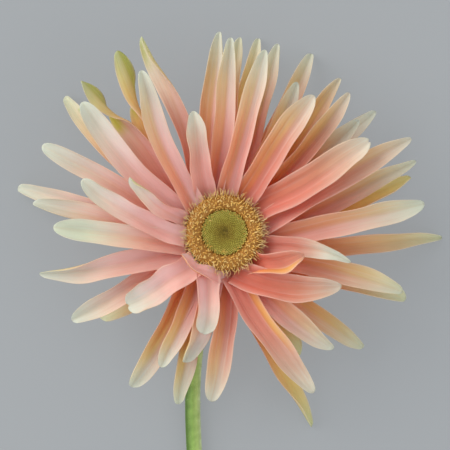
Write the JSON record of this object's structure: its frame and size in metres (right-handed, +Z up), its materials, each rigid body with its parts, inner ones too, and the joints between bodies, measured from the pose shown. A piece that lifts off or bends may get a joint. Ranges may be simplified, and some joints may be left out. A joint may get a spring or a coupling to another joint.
{
  "type": "cut gerbera",
  "caption": "Spider-type gerbera cut flower lying on its back, head facing up over a bent neck, strap petals spread round a green and gold disc.",
  "frame": {"origin": "middle of the bounding box, on the surface the flower lies on", "axes": "+Z up, the way the head faces within a few degrees; -Y along the lying stem towards its cut end; +X to the right when looking down with the stem towards the viewer"},
  "size_m": [0.1312, 0.3562, 0.0374],
  "materials": {
    "petal": "satin petal, coral at the foot, pink in the middle, cream to green-white at the tip, yellow-green beneath",
    "floret": "matt golden disc florets",
    "bud": "matt olive-green closed buds",
    "green": "finely hairy mid-green stem and involucre"
  },
  "bodies": {
    "root": {"petal_01": "petal", "petal_02": "petal", "petal_03": "petal", "petal_04": "petal", "petal_05": "petal", "petal_06": "petal", "petal_07": "petal", "petal_08": "petal", "petal_09": "petal", "petal_10": "petal", "petal_11": "petal", "petal_12": "petal", "petal_13": "petal", "petal_14": "petal", "petal_15": "petal", "petal_16": "petal", "petal_17": "petal", "petal_18": "petal", "petal_19": "petal", "petal_20": "petal", "petal_21": "petal", "petal_22": "petal", "petal_23": "petal", "petal_24": "petal", "petal_25": "petal", "petal_26": "petal", "petal_27": "petal", "petal_28": "petal", "petal_29": "petal", "petal_30": "petal", "petal_31": "petal", "petal_32": "petal", "petal_33": "petal", "petal_34": "petal", "petal_35": "petal", "petal_36": "petal", "petal_37": "petal", "petal_38": "petal", "petal_39": "petal", "petal_40": "petal", "petal_41": "petal", "petal_42": "petal", "petal_43": "petal", "petal_44": "petal", "petal_45": "petal", "petal_46": "petal", "petal_47": "petal", "petal_48": "petal", "petal_49": "petal", "petal_50": "petal", "petal_51": "petal", "petal_52": "petal", "petal_53": "petal", "petal_54": "petal", "disc_florets": "floret", "disc_buds": "bud", "involucre": "green", "stem": "green"}
  },
  "joints": []
}
